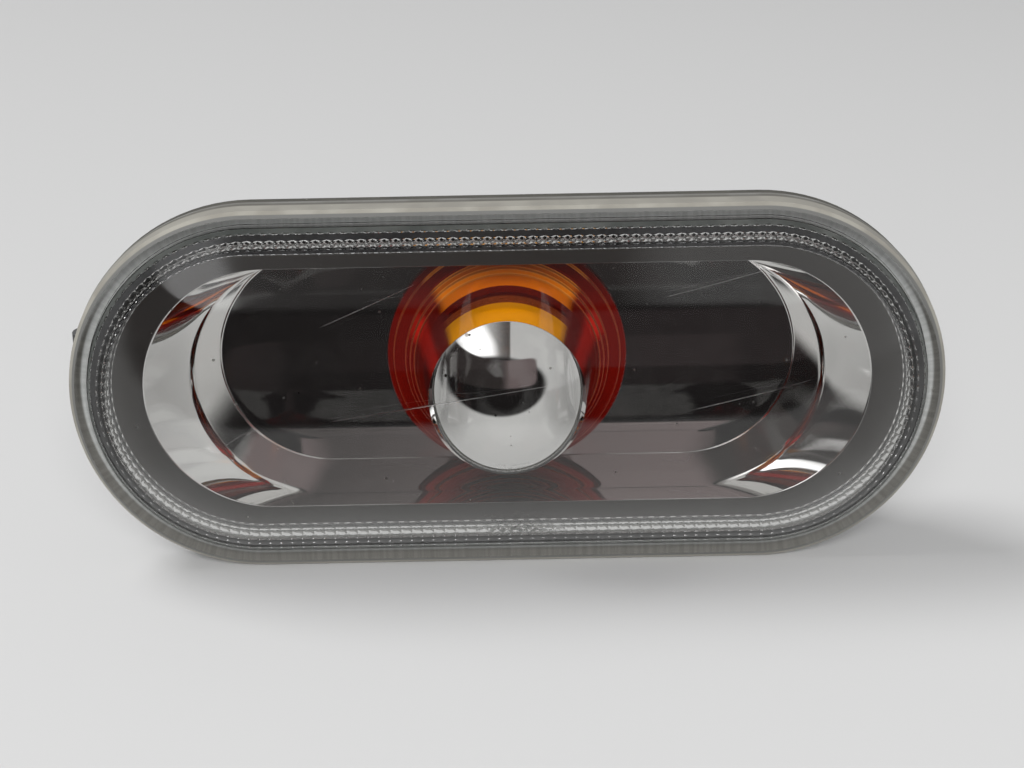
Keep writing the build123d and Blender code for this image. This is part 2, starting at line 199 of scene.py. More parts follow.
rim_height = side_foot + side_height
flange_back = rim_height - flange_thickness
foot_radius = lens_radius - foot_inset
foot_height = rim_height + foot_rise
inside_radius = lens_radius - lens_wall
side_radius = lens_radius - film_thickness
flute_outer = inside_radius - flute_inset
flute_inner = inside_radius - flute_band

bubble_rise = crown_height - foot_height
bubble_radius = (foot_radius**2 + bubble_rise**2) / (2 * bubble_rise)
bubble_centre = crown_height - bubble_radius
inner_bubble = bubble_radius - bubble_wall
inner_foot = bubble_centre + math.sqrt(inner_bubble**2 - flute_inner**2)
print("bubble radius", bubble_radius, "inner foot", inner_foot)

# %% Lens profile
bubble_steps = 24
side_rounds = np.array([0.22, 0.3, 0.3, 0.1, 0.1, 0.2]) * MM
bubble_rounds = np.array([0.2, 0.15]) * MM
groove_insets = np.array([0.0, 1.3, 2.15]) * MM
groove_rise = 0.16 * MM
groove_run = 0.2 * MM

outer_arc = arc(bubble_radius, bubble_centre, 0, math.asin(foot_radius / bubble_radius), bubble_steps)
inner_arc = arc(inner_bubble, bubble_centre, math.asin(flute_inner / inner_bubble), 0, bubble_steps)
side_line = rounded(
    [
        outer_arc[-2],
        (foot_radius, foot_height),
        (side_radius - side_draft - rim_corner, rim_height),
        (side_radius - side_draft, rim_height - rim_corner),
        (side_radius, side_foot + lens_gap),
        (inside_radius, side_foot + lens_gap),
        (inside_radius, flange_back),
        (flute_outer, flange_back),
    ],
    side_rounds,
)
groove_edges = flute_outer - groove_insets
groove_marks = np.array([0, groove_rise, groove_rise + groove_run])
flute_radii = (groove_edges[:, None] - groove_marks).ravel()
flute_line = np.column_stack([flute_radii, np.full_like(flute_radii, flange_back)])
bubble_line = rounded(
    [flute_line[-1], (flute_inner, flange_back), (flute_inner, inner_foot), inner_arc[1]],
    bubble_rounds,
    steps=6,
)
lens_profile = np.concatenate(
    [outer_arc[:-1], side_line[1:-1], flute_line, bubble_line[1:-1], inner_arc[1:]]
)
print("lens profile", len(lens_profile), "points")

# %% Lens surface with its flutes
flutes_side = 45
flutes_end = 46
flute_steps = 4
flute_depth = 0.12 * MM
flute_edge = 0.08 * MM
flute_fade = 0.8 * MM
groove_depth = 0.2 * MM

lens_path = slot_path(flutes_side * flute_steps, flutes_end * flute_steps)
wave_place = np.arange(len(lens_path[0])) % flute_steps / flute_steps
flute_wave = 1 - np.abs(2 * wave_place - 1)

lens_radii, lens_heights = lens_profile.T
flute_start = np.clip((flute_outer - lens_radii) / flute_edge, 0, 1)
flute_end = np.clip(1 - (lens_heights - flange_back) / flute_fade, 0, 1)
groove_inward = groove_edges[:, None] - lens_radii
groove_walls = np.clip(groove_inward / groove_rise, 0, 1)
groove_slopes = np.clip(1 - (groove_inward - groove_rise) / groove_run, 0, 1)
grooves = (groove_walls * groove_slopes).sum(axis=0)
flute_shape = (flute_depth * flute_start + groove_depth * grooves) * flute_end
lens_heights = lens_heights + flute_shape * flute_wave[:, None]
lens_grid = slot_surface(lens_path, half_span, lens_radii, lens_heights)
lens = mesh_piece(
    "clear_lens", lens_grid, "lamp", ["outer_lens"], sharp_angle=25.0, closed_profile=False
)

# %% [markdown]
# ## Dull side wall
# Dirt and old polish have turned the lens's side wall and its front corner matt. Roughness on the clear
# plastic could show that, but light would still come through and brighten the flange. So a thin closed shell
# lies over the wall and the corner, and it gets an opaque finish further on.

# %% Film on the side wall
film_clearance = 0.01 * MM
film_reach = 0.75 * MM

film_foot = side_foot + lens_gap
film_bend = rim_height - rim_corner
film_top = film_bend + film_reach
film_face = np.array([lens_radius, lens_radius - side_draft, lens_radius - side_draft - film_reach])
film_heights = np.array([film_foot, film_bend, film_top, film_top, film_bend, film_foot])
film_radii = np.concatenate([film_face, film_face[::-1] - film_thickness + film_clearance])
film_path = slot_path(straight_steps=90, round_steps=96)
film_grid = slot_surface(film_path, half_span, film_radii, film_heights)
side_film = mesh_piece("side_wall_film", film_grid, "lamp")

# %% [markdown]
# ## Reflector
# The reflector is a trough with a flat rim. At each end a curved land slopes down to an edge, and below that
# edge a steep wall drops to the flat pocket floor. Seen from the front the land and the wall are two
# crescents, because they are slots of the same radius but of different length. So the profile here has three
# numbers for each point, the half span as well as the radius and the height, and all three change along it.
# The opening stops a little short of the rim's ends, as it does in the photo.

# %% Reflector sizes
reflector_ledge = 0.85 * MM
reflector_clearance = 0.25 * MM
reflector_wall = 1.3 * MM
pocket_draft = 0.6 * MM
pocket_end_draft = 1.5 * MM
land_width = 6.4 * MM
land_depth = 3.9 * MM
land_backing = 1.5 * MM
opening_inset = 1.3 * MM
bulb_hole = 6.5 * MM

pan_inside = reflector_radius - reflector_ledge
shell_radius = pan_inside - reflector_clearance
pocket_radius = shell_radius - reflector_wall
floor_radius = pocket_radius - pocket_draft
land_span = half_span - land_width
floor_span = land_span - pocket_end_draft
land_bottom = reflector_top - land_depth
opening_span = half_span - opening_inset
rim_back = side_foot
print("opening span", opening_span, "land span", land_span, "floor span", floor_span)

# %% Reflector profile
land_steps = 12
land_power = 1.2
pocket_rounds = np.array([0.15, 0.2, 1.1]) * MM
shell_round = 0.2 * MM

land_share = np.linspace(0, 1, land_steps + 1)[1:-1]
land_curve = np.column_stack(
    [
        land_span + (opening_span - land_span) * land_share,
        np.full_like(land_share, pocket_radius),
        land_bottom + land_depth * land_share**land_power,
    ]
)
pocket_line = rounded(
    [
        (0, bulb_hole, reflector_back),
        (0, bulb_hole, pocket_floor),
        (floor_span, floor_radius, pocket_floor),
        (land_span, pocket_radius, land_bottom),
        land_curve[0],
    ],
    pocket_rounds,
    steps=6,
)
shell_line = rounded(
    [
        land_curve[-1],
        (opening_span, pocket_radius, reflector_top),
        (half_span, reflector_radius, reflector_top),
        (half_span, reflector_radius, rim_back),
        (half_span, shell_radius, rim_back),
        (land_span + land_backing, shell_radius, land_bottom),
        (floor_span + land_backing, floor_radius + reflector_wall, reflector_back),
        (0, bulb_hole, reflector_back),
    ],
    shell_round,
)
reflector_line = np.concatenate([pocket_line[:-1], land_curve, shell_line[1:-1]])
print("reflector profile", len(reflector_line), "points")

# %% Reflector surface
reflector_path = slot_path(straight_steps=120, round_steps=96)
reflector_grid = slot_surface(reflector_path, *reflector_line.T[:, None, :])
reflector = mesh_piece("bright_reflector", reflector_grid, "lamp", ["reflector"])

# %% [markdown]
# ## Amber cup
# The cup colours the light of a clear bulb. It stands on the pocket floor on four low steps, and its barrel
# narrows towards the front, where a lip carries the dome. It is a turned shape, so it is one profile in
# radius and height. Small rounds on the steps catch the light. The foot is wider than the pocket is high, so
# points beyond the pocket's walls are drawn in towards the axis until they lie on a flat.

# %% Cup sizes
filter_wall = 1.4 * MM
filter_step_widths = np.array([0.8, 1.5, 0.6, 0.55]) * MM
step_height = 1.1 * MM
step_round = 0.13 * MM
cup_gap = 0.03 * MM
barrel_taper = 2.25 * MM
front_chamfer = 0.3 * MM
lip_thickness = 1.3 * MM
spigot_inset = 2.0 * MM
spigot_clearance = 0.15 * MM

barrel_root = cup_radius - filter_step_widths.sum()
cup_inside = barrel_root - filter_wall
front_radius = barrel_root - barrel_taper
cup_foot = pocket_floor + cup_gap
cup_front = shelf_height - cup_gap
lip_radius = dome_radius - spigot_inset + spigot_clearance
lip_back = shelf_height - lip_thickness
foot_radii = cup_radius - np.concatenate([[0], np.cumsum(filter_step_widths)])
tread_heights = pocket_floor + step_height * np.arange(len(foot_radii))
print("foot radii", foot_radii, "front radius", front_radius)

# %% Cup surface
foot_points = np.column_stack([np.repeat(foot_radii, 2)[:-1], np.repeat(tread_heights, 2)[1:]])
cup_corners = np.concatenate(
    [
        [(cup_inside, cup_foot), (cup_radius, cup_foot)],
        foot_points[1:],
        [
            (front_radius, cup_front - front_chamfer),
            (front_radius - front_chamfer, cup_front),
            (lip_radius, cup_front),
            (lip_radius, lip_back),
            (front_radius - filter_wall, lip_back),
            (cup_inside, cup_foot),
        ],
    ]
)
cup_profile = rounded(cup_corners, step_round, steps=3)
cup_grid = turned_surface(cup_profile[:-1], steps=192)
cup_share = np.minimum(1, cup_half_height / np.maximum(np.abs(cup_grid[:, :, 2]), MERGE_DISTANCE))
cup_grid[:, :, [0, 2]] *= cup_share[:, :, None]
cup = mesh_piece("amber_cup", cup_grid, "lamp", ["amber_filter"])

# %% [markdown]
# ## Bright dome
# The dome hides the bulb from the front. It is a thin metallised cap with a spigot that plugs into the cup's
# lip. Like the cup it is turned, with an arc outside, an arc inside and a short foot between them.

# %% Dome surface
dome_wall = 1.0 * MM
spigot_wall = 0.9 * MM
spigot_height = 1.1 * MM
dome_round = 0.1 * MM

dome_rise = dome_top - shelf_height
cap_radius = (dome_radius**2 + dome_rise**2) / (2 * dome_rise)
cap_centre = dome_top - cap_radius
spigot_radius = dome_radius - spigot_inset
spigot_inside = spigot_radius - spigot_wall
spigot_back = shelf_height - spigot_height
inner_cap = cap_radius - dome_wall

outer_cap = arc(cap_radius, cap_centre, 0, math.asin(dome_radius / cap_radius), steps=40)
under_cap = arc(inner_cap, cap_centre, math.asin(spigot_inside / inner_cap), 0, steps=24)
dome_foot = rounded(
    [
        outer_cap[-2],
        (dome_radius, shelf_height),
        (spigot_radius, shelf_height),
        (spigot_radius, spigot_back),
        (spigot_inside, spigot_back),
        under_cap[0],
    ],
    dome_round,
    steps=3,
)
dome_profile = np.concatenate([outer_cap[:-1], dome_foot[1:-1], under_cap])
dome_grid = turned_surface(dome_profile, steps=160)
dome = mesh_piece(
    "bright_dome", dome_grid, "lamp", ["bulb_shield"], closed_profile=False
)

# %% [markdown]
# ## Filament
# The solids carry a plain bar where the filament is. The real one is a fine coil between the two wires, so
# this piece is a tube carried along a helix, which is again a function of two parameters.

# %% Filament surface
bar_low, bar_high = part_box("bulb_filament")
bar_middle = (bar_low + bar_high) / 2
wire_thickness = 0.05 * MM
coil_radius = (bar_high.z - bar_low.z) / 2 - wire_thickness
coil_length = bar_high.x - bar_low.x - 2 * wire_thickness
coil_turns = 12
ring_points = 8


def coil_surface(turns, points_per_turn, points_round):
    """A tube on a helix along X, about the bar's middle.

    With the coil's angle a and the ring's angle b, reach = R + w cos(b), so y = reach cos(a),
    z = reach sin(a), and w sin(b) is added to x.
    """
    along = np.linspace(0, 1, turns * points_per_turn)[None, :]
    angle = 2 * np.pi * turns * along
    ring = np.linspace(0, 2 * np.pi, points_round, endpoint=False)[:, None]
    reach = coil_radius + wire_thickness * np.cos(ring)
    x = bar_middle.x + coil_length * (along - 0.5) + wire_thickness * np.sin(ring)
    y = bar_middle.y + reach * np.cos(angle)
    z = bar_middle.z + reach * np.sin(angle)
    return np.stack(np.broadcast_arrays(x, y, z), axis=-1)


coil_grid = coil_surface(coil_turns, points_per_turn=14, points_round=ring_points)
coil_ends = np.broadcast_to(coil_grid[:, [0, -1]].mean(axis=0), (ring_points, 2, 3))
coil_grid = np.concatenate([coil_ends[:, :1], coil_grid, coil_ends[:, 1:]], axis=1)
filament = mesh_piece(
    "filament_coil", coil_grid, "holder", ["bulb_filament"], closed_profile=False
)

# %% [markdown]
# ## Finishes
# Each material is a Principled shader with its own values. What several finishes share, such as grain,
# specks, hair scratches and single scratches, is a node group that gives a mask or a height, so that one
# effect can be strong on one piece and faint on another. The groups read Object coordinates, in metres.

# %% Node helpers
def connect(tree, node, inputs):
    """Sets or links inputs of a node, named by their label or their number."""
    for key, value in inputs.items():
        if isinstance(value, bpy.types.NodeSocket):
            tree.links.new(value, node.inputs[key])
        else:
            node.inputs[key].default_value = value
    return node


def add_node(tree, kind, inputs, **settings):
    """A new node with its settings, then its inputs."""
    node = tree.nodes.new(kind)
    for name, value in settings.items():
        setattr(node, name, value)
    return connect(tree, node, inputs)


def calc(tree, operation, first, second=0.0, clamp=False):
    """The result of one sum on two values."""
    node = add_node(tree, "ShaderNodeMath", {0: first, 1: second}, operation=operation, use_clamp=clamp)
    return node.outputs[0]


def ramp(tree, value, low, high, to_low=0.0, to_high=1.0):
    """A smooth step: to_low where value is under low, to_high where it is over high."""
    inputs = {"Value": value, "From Min": low, "From Max": high, "To Min": to_low, "To Max": to_high}
    node = add_node(tree, "ShaderNodeMapRange", inputs, interpolation_type="SMOOTHSTEP")
    return node.outputs["Result"]


def past(tree, value, edge, soft):
    """A mask that turns on where value passes edge, over a width of twice soft."""
    return ramp(tree, value, edge - soft, edge + soft)


def short_of(tree, value, edge, soft):
    """A mask that turns off where value passes edge, over a width of twice soft."""
    return ramp(tree, value, edge - soft, edge + soft, 1.0, 0.0)


def blend_colour(tree, share, first, second):
    """A colour between two, by share."""
    node = add_node(tree, "ShaderNodeMix", {0: share, 6: first, 7: second}, data_type="RGBA")
    return node.outputs[2]


def object_point(tree):
    """Where the surface is, in the lamp's frame."""
    return tree.nodes.new("ShaderNodeTexCoord").outputs["Object"]


def new_group(name, inputs, outputs):
    """An empty group with float or vector inputs, given by their defaults, and float outputs."""
    tree = bpy.data.node_groups.new(name, "ShaderNodeTree")
    for label, default in inputs.items():
        kind = "NodeSocketVector" if isinstance(default, tuple) else "NodeSocketFloat"
        tree.interface.new_socket(label, in_out="INPUT", socket_type=kind).default_value = default
    for label in outputs:
        tree.interface.new_socket(label, in_out="OUTPUT", socket_type="NodeSocketFloat")
    return tree, tree.nodes.new("NodeGroupInput").outputs, tree.nodes.new("NodeGroupOutput")


def use_group(tree, group, inputs):
    """A group placed in a material, with its own values."""
    node = tree.nodes.new("ShaderNodeGroup")
    node.node_tree = group
    return connect(tree, node, inputs).outputs


# %% Grain of moulded plastic
MOTTLE_SCALE = 220.0
grain, given, result = new_group("moulded_grain", {"Scale": 9000.0}, ["Height", "Mottle"])
point = object_point(grain)
fine = add_node(grain, "ShaderNodeTexNoise", {"Vector": point, "Scale": given["Scale"], "Detail": 1.0})
broad = add_node(grain, "ShaderNodeTexNoise", {"Vector": point, "Scale": MOTTLE_SCALE, "Detail": 2.0})
mottle = ramp(grain, broad.outputs["Fac"], 0.35, 0.65)
connect(grain, result, {"Height": fine.outputs["Fac"], "Mottle": mottle})
print("group", grain.name)

# %% Specks of dust and pits
SMALLEST_SPECK = 0.3
specks, given, result = new_group("dust_specks", {"Scale": 500.0, "Share": 0.2, "Size": 0.12}, ["Mask"])
point = object_point(specks)
cells = add_node(
    specks, "ShaderNodeTexVoronoi", {"Vector": point, "Scale": given["Scale"], "Randomness": 1.0}
)
luck = add_node(specks, "ShaderNodeSeparateColor", {"Color": cells.outputs["Color"]})
chosen = calc(specks, "LESS_THAN", luck.outputs[0], given["Share"])
size = calc(specks, "MULTIPLY", given["Size"], calc(specks, "ADD", luck.outputs[1], SMALLEST_SPECK))
inside = calc(specks, "LESS_THAN", cells.outputs["Distance"], size)
connect(specks, result, {"Mask": calc(specks, "MULTIPLY", chosen, inside)})
print("group", specks.name)

# %% Hair scratches
HAIR_STRETCH = (0.16, 1.0, 2.6)
PATCH_SCALE = 130.0
hairs, given, result = new_group(
    "hair_scratches", {"Turn": (0.0, 0.0, 0.0), "Scale": 60.0, "Width": 0.012, "Share": 0.5}, ["Mask"]
)
point = object_point(hairs)
turned = add_node(
    hairs, "ShaderNodeMapping", {"Vector": point, "Rotation": given["Turn"], "Scale": HAIR_STRETCH}
)
lines = add_node(
    hairs, "ShaderNodeTexNoise", {"Vector": turned.outputs[0], "Scale": given["Scale"], "Detail": 2.0}
)
patches = add_node(hairs, "ShaderNodeTexNoise", {"Vector": point, "Scale": PATCH_SCALE, "Detail": 0.0})
near = calc(hairs, "ABSOLUTE", calc(hairs, "SUBTRACT", lines.outputs["Fac"], 0.5))
thin = calc(hairs, "LESS_THAN", near, given["Width"])
kept = ramp(hairs, patches.outputs["Fac"], calc(hairs, "SUBTRACT", 1.0, given["Share"]), 0.75)
connect(hairs, result, {"Mask": calc(hairs, "MULTIPLY", thin, kept)})
print("group", hairs.name)

# %% One scratch
def dot_product(tree, first, second):
    """How far one vector reaches along another, times the other's length."""
    node = add_node(tree, "ShaderNodeVectorMath", {0: first, 1: second}, operation="DOT_PRODUCT")
    return node.outputs["Value"]


scratch, given, result = new_group(
    "single_scratch",
    {"Across": (0.0, 0.0, 1.0), "Line": 0.0, "Along": (1.0, 0.0, 0.0), "Middle": 0.0, "Width": 0.00005},
    ["Mask"],
)
point = object_point(scratch)
off_line = calc(scratch, "SUBTRACT", dot_product(scratch, point, given["Across"]), given["Line"])
share = calc(scratch, "SUBTRACT", dot_product(scratch, point, given["Along"]), given["Middle"])
taper = calc(scratch, "SUBTRACT", 1.0, calc(scratch, "MULTIPLY", share, share))
half_width = calc(scratch, "MULTIPLY", taper, given["Width"])
near = calc(scratch, "LESS_THAN", calc(scratch, "ABSOLUTE", off_line), half_width)
connect(scratch, result, {"Mask": near})
print("group", scratch.name)


def scratch_values(start, end, width):
    """The group's inputs for a scratch from start to end, both (x, z): a share of -1 to 1 runs along it."""
    start = np.array(start) * MM
    end = np.array(end) * MM
    run = end - start
    length = np.linalg.norm(run)
    along = 2 * run / length**2
    across = np.array([-run[1], run[0]]) / length
    middle = (start + end) / 2
    return {
        "Across": (across[0], 0.0, across[1]),
        "Line": float(across @ middle),
        "Along": (along[0], 0.0, along[1]),
        "Middle": float(along @ middle),
        "Width": width * MM,
    }


# %% Place on the slot
END_RADIUS = 20.0 * MM
slot_place, given, result = new_group("slot_place", {"Half Span": 0.03}, ["Radius", "Along"])
place = add_node(slot_place, "ShaderNodeSeparateXYZ", {"Vector": object_point(slot_place)}).outputs
lowest = calc(slot_place, "MULTIPLY", given["Half Span"], -1.0)
straight = calc(slot_place, "MAXIMUM", place[0], lowest)
straight = calc(slot_place, "MINIMUM", straight, given["Half Span"])
beyond = calc(slot_place, "SUBTRACT", place[0], straight)
height_square = calc(slot_place, "MULTIPLY", place[2], place[2])
square = calc(slot_place, "ADD", calc(slot_place, "MULTIPLY", beyond, beyond), height_square)
turn = calc(slot_place, "ARCTAN2", beyond, calc(slot_place, "ABSOLUTE", place[2]))
along = calc(slot_place, "ADD", straight, calc(slot_place, "MULTIPLY", turn, END_RADIUS))
connect(slot_place, result, {"Radius": calc(slot_place, "SQRT", square), "Along": along})
print("group", slot_place.name)

# %% Material helpers
def new_material(name, **values):
    """A material with its Principled shader set to plain values. Underscores in a name stand for spaces."""
    material = bpy.data.materials.new(name)
    material.use_nodes = True
    tree = material.node_tree
    shader = tree.nodes["Principled BSDF"]
    connect(tree, shader, {label.replace("_", " "): value for label, value in values.items()})
    return material, tree, shader


def reopen(material):
    """What a further layer on a material needs: its tree, shader, place as X, Y and Z, and colour so far."""
    tree = material.node_tree
    shader = tree.nodes["Principled BSDF"]
    place = add_node(tree, "ShaderNodeSeparateXYZ", {"Vector": object_point(tree)}).outputs
    return tree, shader, place, shader.inputs["Base Color"].links[0].from_socket


def dress(material, *pieces):
    """Gives pieces this material in place of any that they have."""
    for piece in pieces:
        piece.data.materials.clear()
        piece.data.materials.append(material)


def add_bump(tree, shader, height, distance):
    """Raises the surface by height times distance, as the shader sees it."""
    bump = add_node(tree, "ShaderNodeBump", {"Height": height, "Distance": distance, "Strength": 1.0})
    tree.links.new(bump.outputs["Normal"], shader.inputs["Normal"])


def let_light_in(tree, shader, tint):
    """Lets rays from lamps pass a clear piece unbent, so that what is behind it is lit with little noise."""
    path = tree.nodes.new("ShaderNodeLightPath")
    clear = add_node(tree, "ShaderNodeBsdfTransparent", {"Color": tint})
    mix = add_node(
        tree,
        "ShaderNodeMixShader",
        {0: path.outputs["Is Shadow Ray"], 1: shader.outputs[0], 2: clear.outputs[0]},
    )
    tree.links.new(mix.outputs[0], tree.nodes["Material Output"].inputs["Surface"])


def strongest(tree, masks):
    """The largest of several masks."""
    found = masks[0]
    for mask in masks[1:]:
        found = calc(tree, "MAXIMUM", found, mask)
    return found


# %% [markdown]
# ## Old clear plastic
# The lens has lain loose, so it has long scratches, a scuffed patch and some dust. On clear plastic these
# are rough places: they scatter what is behind them. So the masks drive roughness, a bump sinks the
# scratches a little as well, and the shader stays plain glass. The scratches and the scuff are placed where
# the photo shows them, and the scratches lie only on the outer face.

# %% Scratches on the lens
# Each scratch has its start and its end as (x, z), and its width, in mm.
LENS_SCRATCHES = [
    ((-20.2, 0.0), (4.8, 3.7), 0.05),
    ((21.0, 0.6), (34.4, 3.7), 0.04),
    ((-20.9, 10.5), (-10.3, 14.6), 0.03),
    ((18.0, 12.9), (29.7, 15.4), 0.03),
]
lens_finish, tree, shader = new_material(
    "old_clear_plastic", IOR=1.49, Specular_IOR_Level=0.15, Transmission_Weight=1.0, Metallic=0.0
)
scratches = strongest(
    tree, [use_group(tree, scratch, scratch_values(*line))["Mask"] for line in LENS_SCRATCHES]
)
point = object_point(tree)
place = add_node(tree, "ShaderNodeSeparateXYZ", {"Vector": point}).outputs
lens_spot = use_group(tree, slot_place, {"Half Span": half_span})
rise = calc(tree, "ADD", place[1], bubble_centre)
round_square = calc(tree, "MULTIPLY", lens_spot["Radius"], lens_spot["Radius"])
round_square = calc(tree, "ADD", round_square, calc(tree, "MULTIPLY", rise, rise))
middle_radius = (bubble_radius + inner_bubble) / 2
outside = calc(tree, "GREATER_THAN", calc(tree, "SQRT", round_square), middle_radius)
scratches = calc(tree, "MULTIPLY", scratches, outside)
print("scratches", len(LENS_SCRATCHES))

# %% Scuffed patch on the lens
SCUFF_MIDDLE = (1.0 * MM, -16.0 * MM)
SCUFF_REACH = (6.5 * MM, 1.3 * MM)
SCUFF_SCALE = 1700.0
wide = calc(tree, "DIVIDE", calc(tree, "SUBTRACT", place[0], SCUFF_MIDDLE[0]), SCUFF_REACH[0])
tall = calc(tree, "DIVIDE", calc(tree, "SUBTRACT", place[2], SCUFF_MIDDLE[1]), SCUFF_REACH[1])
square = calc(tree, "ADD", calc(tree, "MULTIPLY", wide, wide), calc(tree, "MULTIPLY", tall, tall))
soft_oval = calc(tree, "SUBTRACT", 1.0, square, clamp=True)
scuff_noise = add_node(tree, "ShaderNodeTexNoise", {"Vector": point, "Scale": SCUFF_SCALE, "Detail": 1.0})
scuffed = calc(tree, "MULTIPLY", soft_oval, ramp(tree, scuff_noise.outputs["Fac"], 0.5, 0.56))
print("scuff at", SCUFF_MIDDLE)

# %% Lens material
CLEAR_ROUGHNESS = 0.008
MARK_ROUGHNESS = 0.45
SCRATCH_DEPTH = 0.03 * MM
CLEAR = (1, 1, 1, 1)
DUSTY = (0.5, 0.49, 0.47, 1)
LENS_TINT = (0.92, 0.92, 0.92, 1)
lens_dust = use_group(tree, specks, {"Scale": 420.0, "Share": 0.16, "Size": 0.07})
marks = strongest(tree, [scratches, lens_dust["Mask"], scuffed])
rough = ramp(tree, marks, 0.0, 1.0, CLEAR_ROUGHNESS, MARK_ROUGHNESS)
tree.links.new(rough, shader.inputs["Roughness"])
tree.links.new(blend_colour(tree, lens_dust["Mask"], CLEAR, DUSTY), shader.inputs["Base Color"])
add_bump(tree, shader, scratches, -SCRATCH_DEPTH)
let_light_in(tree, shader, LENS_TINT)
dress(lens_finish, lens)
print("material", lens_finish.name)

# %% [markdown]
# ## Metallised plastic
# The reflector and the dome are plastic with a thin film of aluminium. The film is a mirror with a little
# haze and some pin holes where it has come off. One function makes both, with other values. The reflector's
# flat rim is dark all round in the photo, so there the film is left out and the bare plastic shows.

# %% Mirror materials
ALUMINIUM = (0.9, 0.895, 0.885, 1)
PIT_COLOUR = (0.06, 0.055, 0.05, 1)
PIT_ROUGHNESS = 0.5


def mirror_finish(name, haze, pit_scale, pit_share, pit_size):
    """A metal film with haze that varies in broad patches and dark pits."""
    material, tree, shader = new_material(name, Metallic=1.0)
    patches = use_group(tree, grain, {})
    pits = use_group(tree, specks, {"Scale": pit_scale, "Share": pit_share, "Size": pit_size})
    tree.links.new(blend_colour(tree, pits["Mask"], ALUMINIUM, PIT_COLOUR), shader.inputs["Base Color"])
    smooth = ramp(tree, patches["Mottle"], 0.0, 1.0, haze * 0.5, haze)
    rough = calc(tree, "MAXIMUM", smooth, calc(tree, "MULTIPLY", pits["Mask"], PIT_ROUGHNESS))
    tree.links.new(rough, shader.inputs["Roughness"])
    return material


reflector_finish = mirror_finish(
    "metallised_trough", haze=0.06, pit_scale=380.0, pit_share=0.05, pit_size=0.1
)
dome_finish = mirror_finish("metallised_cap", haze=0.05, pit_scale=700.0, pit_share=0.1, pit_size=0.1)
dress(reflector_finish, reflector)
dress(dome_finish, dome)
print("materials", reflector_finish.name, dome_finish.name)

# %% Bare rim of the reflector
BARE_PLASTIC = (0.02, 0.018, 0.017, 1)
BARE_ROUGHNESS = 0.4
bare_depth = 0.045 * MM
bare_depth_soft = 0.015 * MM
bare_inset = 0.275 * MM
bare_inset_soft = 0.025 * MM
tree, shader, place, bright = reopen(reflector_finish)
rim_spot = use_group(tree, slot_place, {"Half Span": half_span})
on_top = short_of(tree, place[1], bare_depth - reflector_top, bare_depth_soft)
within = short_of(tree, rim_spot["Radius"], reflector_radius - bare_inset, bare_inset_soft)
bare = calc(tree, "MULTIPLY", on_top, within)
tree.links.new(blend_colour(tree, bare, bright, BARE_PLASTIC), shader.inputs["Base Color"])
tree.links.new(calc(tree, "SUBTRACT", 1.0, bare), shader.inputs["Metallic"])
rough = shader.inputs["Roughness"].links[0].from_socket
rough = calc(tree, "MAXIMUM", rough, calc(tree, "MULTIPLY", bare, BARE_ROUGHNESS))
tree.links.new(rough, shader.inputs["Roughness"])
print("bare rim out to", reflector_radius - bare_inset)

# %% [markdown]
# ## Amber plastic
# The cup is dyed through and a little cloudy, so half of its shader is clear and half is plain diffuse. In
# the photo its crown shows bands of yellow, brown, dark red and orange at set heights on the barrel, which
# are light and shade seen through the plastic, brightest on top where the light falls. Its sides are deep
# red with a brighter streak, and thin pale lines follow the steps of the foot: the deep red is partly dye
# and partly shade, the streak is a glint and the lines are highlights. Light traced through many exact
# layers could give such bands, but only from a mould whose inside is known. So here the bands, the shade,
# the glint and the highlights are painted into the base colour, as a formula of the height and of the
# turn about the axis.

# %% Amber crown: layers of painted light and shade
# Each painted layer has the height in mm at which it starts, and its colour down from there.
# The yellow front and the layers below it are painted light and shade seen through the crown, not dye.
AMBER_FRONT_PAINTED_LIGHT = (1.0, 0.42, 0.005, 1)
AMBER_PAINTED_LIGHT_LAYERS = [
    (3.5, (0.3, 0.055, 0.008, 1)),
    (1.7, (0.09, 0.002, 0.001, 1)),
    (-0.9, (1.0, 0.27, 0.003, 1)),
]
layer_soft = 0.12 * MM
amber_finish, tree, shader = new_material(
    "amber_plastic", IOR=1.52, Specular_IOR_Level=0.05, Transmission_Weight=0.5, Metallic=0.0
)
place = add_node(tree, "ShaderNodeSeparateXYZ", {"Vector": object_point(tree)}).outputs
crown_painted_light = AMBER_FRONT_PAINTED_LIGHT
for layer_height, colour in AMBER_PAINTED_LIGHT_LAYERS:
    below = past(tree, place[1], -layer_height * MM, layer_soft)
    crown_painted_light = blend_colour(tree, below, crown_painted_light, colour)
print("amber layers", len(AMBER_PAINTED_LIGHT_LAYERS) + 1)

# %% Amber sides, foot and edges: painted shade, glint and highlights
# Deep red is partly the dye of thick plastic and partly painted shade; the red streak is a painted glint.
DEEP_RED_DYE_AND_SHADE = (0.17, 0.005, 0.002, 1)
PAINTED_GLINT_RED = (0.6, 0.014, 0.005, 1)
# The pale edge lines are painted highlights, brighter on the crown where the light falls.
PAINTED_EDGE_HIGHLIGHT_SIDE = (0.3, 0.055, 0.018, 1)
PAINTED_EDGE_HIGHLIGHT_TOP = (1.0, 0.36, 0.04, 1)
edge_width = 0.09 * MM
foot_top = tread_heights[-2]
turned_radius = use_group(tree, slot_place, {"Half Span": 0.0})["Radius"]
topness = calc(tree, "DIVIDE", place[2], turned_radius)
on_crown = ramp(tree, topness, 0.66, 0.76)
painted_glint = calc(tree, "MULTIPLY", ramp(tree, topness, 0.2, 0.36), ramp(tree, topness, 0.44, 0.56, 1.0, 0.0))
side_dye_and_painted_light = blend_colour(tree, painted_glint, DEEP_RED_DYE_AND_SHADE, PAINTED_GLINT_RED)
dye_and_painted_light = blend_colour(tree, on_crown, side_dye_and_painted_light, crown_painted_light)
dye_and_painted_light = blend_colour(tree, past(tree, place[1], -foot_top, layer_soft), dye_and_painted_light, DEEP_RED_DYE_AND_SHADE)
